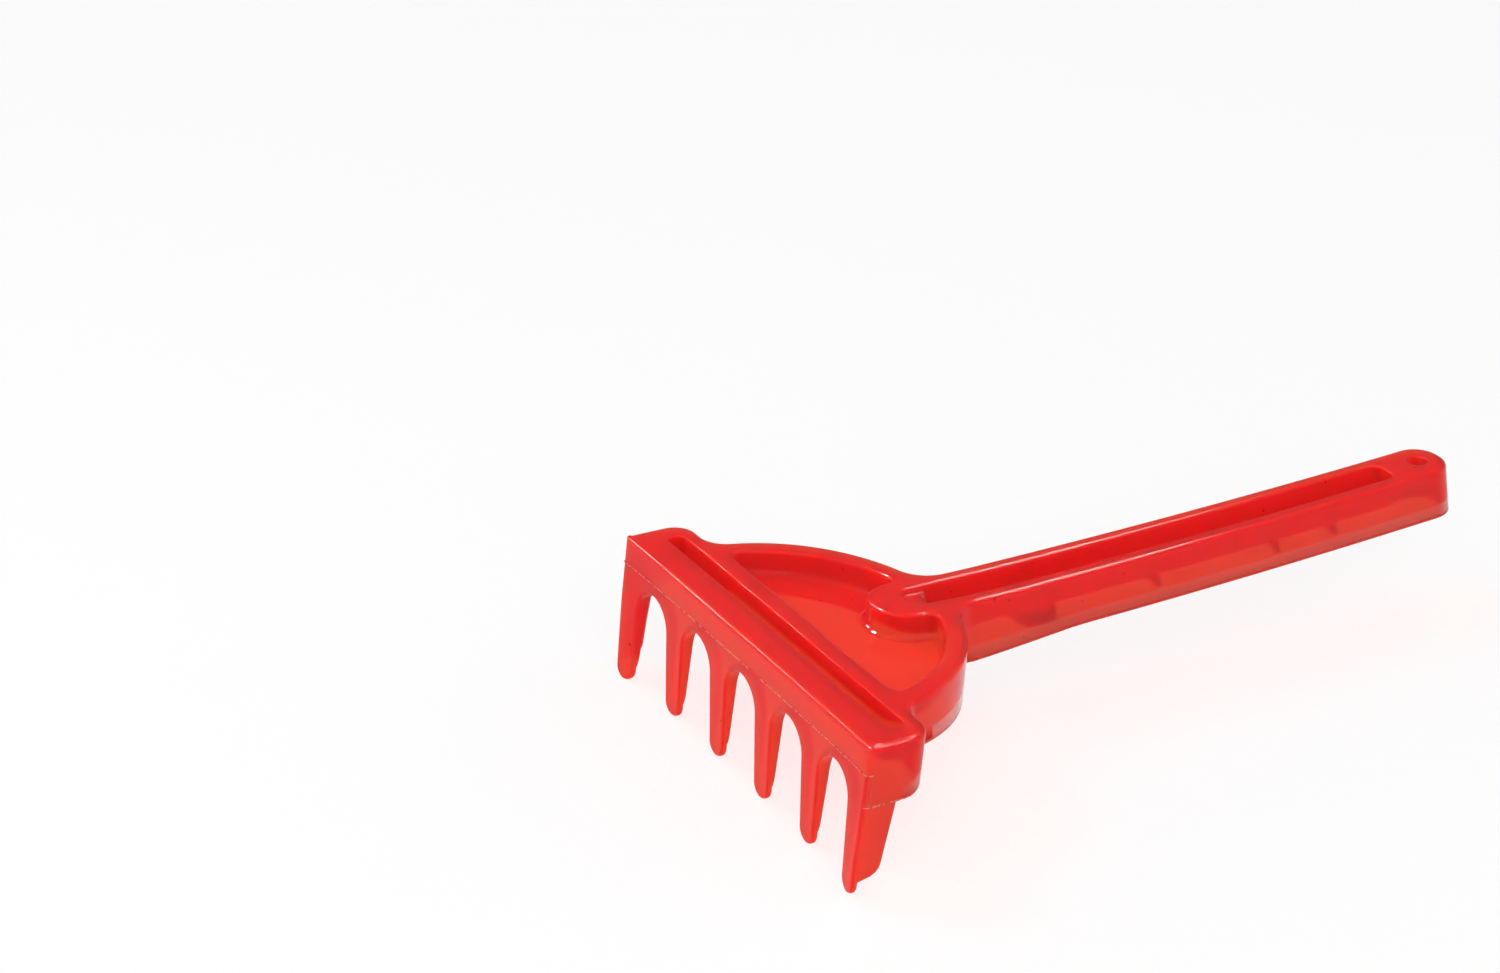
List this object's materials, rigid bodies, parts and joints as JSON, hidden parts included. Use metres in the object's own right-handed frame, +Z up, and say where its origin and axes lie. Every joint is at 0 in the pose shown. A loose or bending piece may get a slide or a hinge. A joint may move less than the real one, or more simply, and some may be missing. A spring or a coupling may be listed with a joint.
{
  "type": "sand rake",
  "caption": "Child's translucent red sand rake: a moulded shell open underneath, with a tined head bar, a fan-shaped tray behind it and a long hollow handle with a hang hole.",
  "frame": {"origin": "centre of the bounding box at the level of the tine tips", "axes": "+X along the head bar, +Y from the tines to the tail of the handle, +Z up out of the flat top face"},
  "size_m": [0.119, 0.21, 0.038],
  "materials": {
    "shell": "glossy translucent red"
  },
  "bodies": {
    "root": {"bar_deck": "shell", "bar_groove": "shell", "front_wall": "shell", "end_wall_left": "shell", "end_wall_right": "shell", "tine_1": "shell", "tine_2": "shell", "tine_3": "shell", "tine_4": "shell", "tine_5": "shell", "tine_6": "shell", "fan_rim_left": "shell", "fan_rim_right": "shell", "tray_wall": "shell", "tray_floor": "shell", "fan_skirt_left": "shell", "fan_skirt_right": "shell", "handle_deck": "shell", "handle_trough": "shell", "handle_side_left": "shell", "handle_side_right": "shell", "tail_wall": "shell", "hang_eye": "shell", "neck_block": "shell", "gusset_1": "shell", "gusset_2": "shell", "gusset_3": "shell"}
  },
  "joints": []
}
